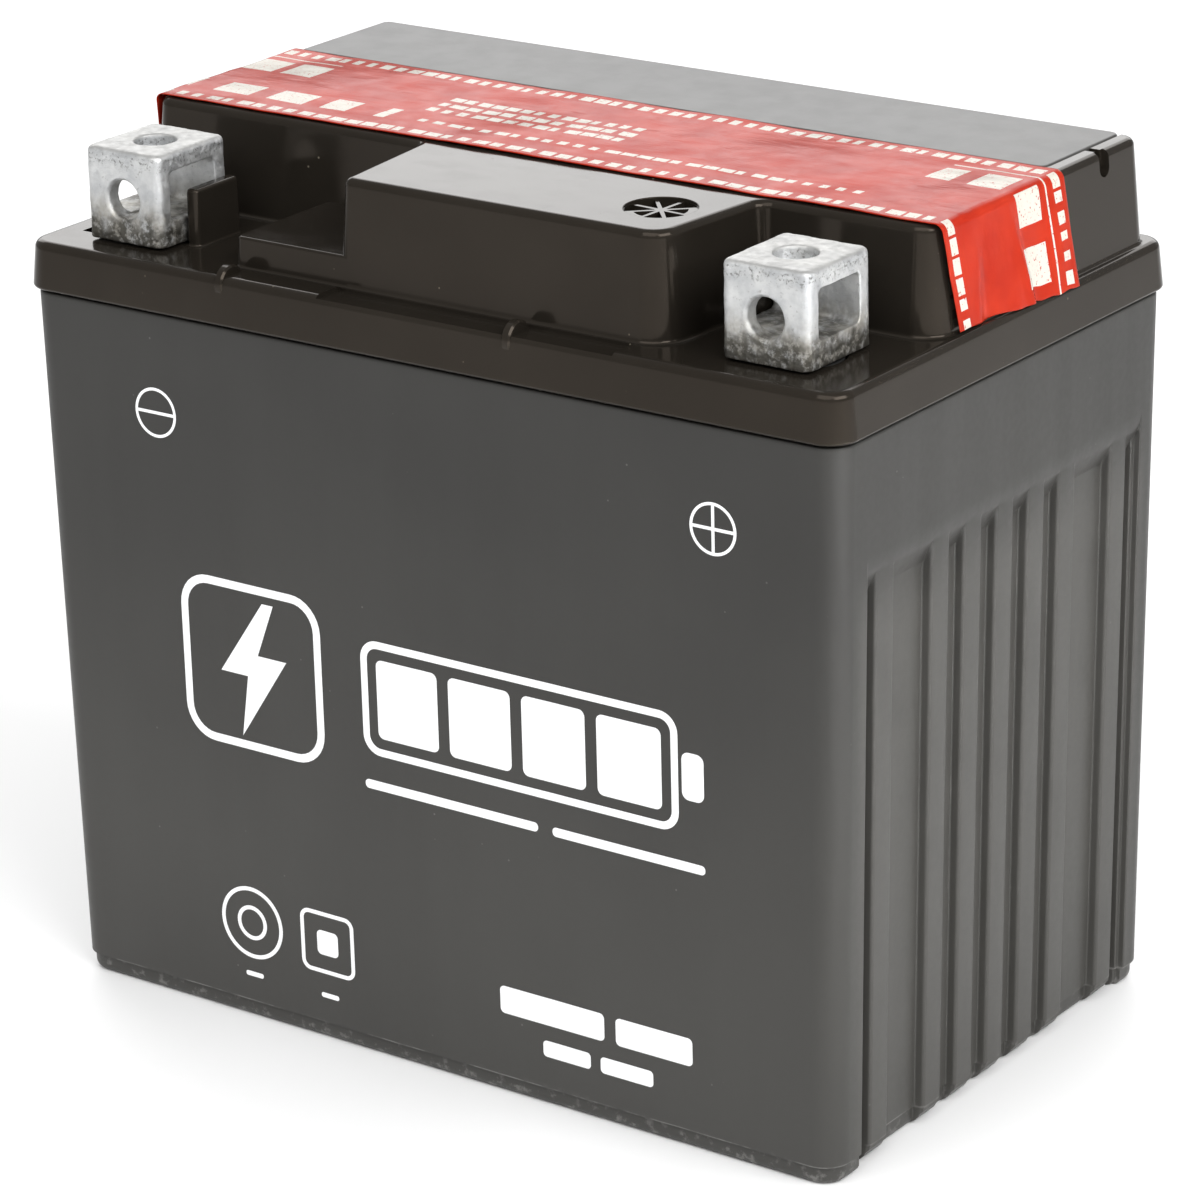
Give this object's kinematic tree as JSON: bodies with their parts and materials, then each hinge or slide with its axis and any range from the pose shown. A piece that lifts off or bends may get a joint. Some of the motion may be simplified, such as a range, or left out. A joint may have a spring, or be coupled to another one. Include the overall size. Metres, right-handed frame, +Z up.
{
  "type": "motorcycle battery",
  "caption": "Sealed motorcycle battery: ribbed tapered container with cell walls and plate stacks, glossy cover with vent block, foil seal over filler wells, and two cast nut terminals.",
  "frame": {"origin": "middle of the base, on the surface that the battery stands on", "axes": "+X along the length towards the positive terminal, +Y from the terminal side to the back, +Z up"},
  "size_m": [0.113, 0.07, 0.105],
  "materials": {
    "container_black": "fine satin grain",
    "cover_black": "polished",
    "cover_plate_black": "satin",
    "red_foil": "metallic foil, slightly wrinkled",
    "cast_lead": "cast lead alloy, dull",
    "black_rubber": "moulded",
    "porous_disc": "sintered",
    "positive_plate_brown": "pasted",
    "negative_plate_grey": "pasted",
    "white_glass_mat": "felted"
  },
  "bodies": {
    "battery_case": {"container": "container_black", "cover": "cover_black", "flame_arrestor_disc": "porous_disc", "intercell_connector_1": "cast_lead", "intercell_connector_2": "cast_lead", "intercell_connector_3": "cast_lead", "intercell_connector_4": "cast_lead", "intercell_connector_5": "cast_lead", "negative_plate_group_1": "negative_plate_grey", "negative_plate_group_2": "negative_plate_grey", "negative_plate_group_3": "negative_plate_grey", "negative_plate_group_4": "negative_plate_grey", "negative_plate_group_5": "negative_plate_grey", "negative_plate_group_6": "negative_plate_grey", "negative_terminal": "cast_lead", "negative_terminal_seal": "black_rubber", "positive_plate_group_1": "positive_plate_brown", "positive_plate_group_2": "positive_plate_brown", "positive_plate_group_3": "positive_plate_brown", "positive_plate_group_4": "positive_plate_brown", "positive_plate_group_5": "positive_plate_brown", "positive_plate_group_6": "positive_plate_brown", "positive_terminal": "cast_lead", "positive_terminal_seal": "black_rubber", "separator_1_left": "white_glass_mat", "separator_1_right": "white_glass_mat", "separator_2_left": "white_glass_mat", "separator_2_right": "white_glass_mat", "separator_3_left": "white_glass_mat", "separator_3_right": "white_glass_mat", "separator_4_left": "white_glass_mat", "separator_4_right": "white_glass_mat", "separator_5_left": "white_glass_mat", "separator_5_right": "white_glass_mat", "separator_6_left": "white_glass_mat", "separator_6_right": "white_glass_mat", "vent_cover_plate": "cover_plate_black"},
    "foil_seal": {"seal_tape": "red_foil"},
    "valve_cap_1": {"safety_valve_1": "black_rubber"},
    "valve_cap_2": {"safety_valve_2": "black_rubber"},
    "valve_cap_3": {"safety_valve_3": "black_rubber"},
    "valve_cap_4": {"safety_valve_4": "black_rubber"},
    "valve_cap_5": {"safety_valve_5": "black_rubber"},
    "valve_cap_6": {"safety_valve_6": "black_rubber"}
  },
  "joints": [
    {"name": "foil_peel_lift", "type": "slide", "parent": "battery_case", "child": "foil_seal", "axis": [0, 0, 1], "range_m": [0, 0.03]},
    {"name": "valve_lift_1", "type": "slide", "parent": "battery_case", "child": "valve_cap_1", "axis": [0, 0, 1], "range_m": [0, 0.0005], "stiffness_N_per_m": 200},
    {"name": "valve_lift_2", "type": "slide", "parent": "battery_case", "child": "valve_cap_2", "axis": [0, 0, 1], "range_m": [0, 0.0005], "stiffness_N_per_m": 200},
    {"name": "valve_lift_3", "type": "slide", "parent": "battery_case", "child": "valve_cap_3", "axis": [0, 0, 1], "range_m": [0, 0.0005], "stiffness_N_per_m": 200},
    {"name": "valve_lift_4", "type": "slide", "parent": "battery_case", "child": "valve_cap_4", "axis": [0, 0, 1], "range_m": [0, 0.0005], "stiffness_N_per_m": 200},
    {"name": "valve_lift_5", "type": "slide", "parent": "battery_case", "child": "valve_cap_5", "axis": [0, 0, 1], "range_m": [0, 0.0005], "stiffness_N_per_m": 200},
    {"name": "valve_lift_6", "type": "slide", "parent": "battery_case", "child": "valve_cap_6", "axis": [0, 0, 1], "range_m": [0, 0.0005], "stiffness_N_per_m": 200}
  ]
}
